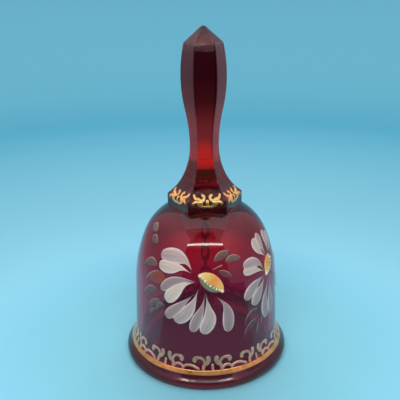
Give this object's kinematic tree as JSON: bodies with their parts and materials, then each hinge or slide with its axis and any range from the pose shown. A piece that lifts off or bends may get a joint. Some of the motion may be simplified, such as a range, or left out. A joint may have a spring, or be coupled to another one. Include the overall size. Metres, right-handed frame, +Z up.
{
  "type": "glass hand bell",
  "caption": "ruby glass hand bell with a six-sided handle, gold rim and collar scrolls, raised enamel flowers and a chain-hung clapper",
  "frame": {"origin": "centre of the rim's foot", "axes": "+Z up through the handle, -Y front, +X right"},
  "size_m": [0.087, 0.087, 0.17],
  "materials": {
    "ruby_glass": "polished, deep ruby",
    "clapper_glass": "polished",
    "plaster": "rough set plaster",
    "gilt_wire": "drawn wire, gilt",
    "gilding": "fired gold, satin",
    "white_enamel": "fired enamel, brushed",
    "yellow_enamel": "fired enamel",
    "cream_enamel": "fired enamel, raised",
    "olive_enamel": "fired enamel, thin",
    "red_enamel": "fired enamel, thin"
  },
  "bodies": {
    "bell": {"bell_shell": "ruby_glass", "handle": "ruby_glass", "hanger_cement": "plaster", "hanger_eye": "gilt_wire", "rim_band": "gilding", "rim_scrolls": "gilding", "collar_scrolls": "gilding", "petals": "white_enamel", "flower_centres": "yellow_enamel", "stamen_beads": "cream_enamel", "leaves": "olive_enamel", "bud": "red_enamel"},
    "link_1": {"chain_link_1": "gilt_wire"},
    "link_2": {"chain_link_2": "gilt_wire"},
    "link_3": {"chain_link_3": "gilt_wire"},
    "link_4": {"chain_link_4": "gilt_wire"},
    "link_5": {"chain_link_5": "gilt_wire"},
    "ring": {"clapper_ring": "gilt_wire"},
    "clapper": {"clapper_pin": "gilt_wire", "clapper_drop": "clapper_glass", "clapper_ball": "gilt_wire"}
  },
  "joints": [
    {"name": "link_1_swing", "type": "hinge", "parent": "bell", "child": "link_1", "pos_m": [0, 0, 0.076], "axis": [1, 0, 0], "range_deg": [-29, 29]},
    {"name": "link_2_swing", "type": "hinge", "parent": "link_1", "child": "link_2", "pos_m": [0, 0, 0.06985], "axis": [0, 1, 0], "range_deg": [-33, 33]},
    {"name": "link_3_swing", "type": "hinge", "parent": "link_2", "child": "link_3", "pos_m": [0, 0, 0.0637], "axis": [-1, 0, 0], "range_deg": [-38, 38]},
    {"name": "link_4_swing", "type": "hinge", "parent": "link_3", "child": "link_4", "pos_m": [0, 0, 0.05755], "axis": [0, -1, 0], "range_deg": [-44, 44]},
    {"name": "link_5_swing", "type": "hinge", "parent": "link_4", "child": "link_5", "pos_m": [0, 0, 0.0514], "axis": [1, 0, 0], "range_deg": [-54, 54]},
    {"name": "ring_swing", "type": "hinge", "parent": "link_5", "child": "ring", "pos_m": [0, 0, 0.04525], "axis": [0, 1, 0], "range_deg": [-70, 70]},
    {"name": "clapper_swing", "type": "hinge", "parent": "ring", "child": "clapper", "pos_m": [0, 0, 0.0418], "axis": [-1, 0, 0], "range_deg": [-70, 70]}
  ]
}
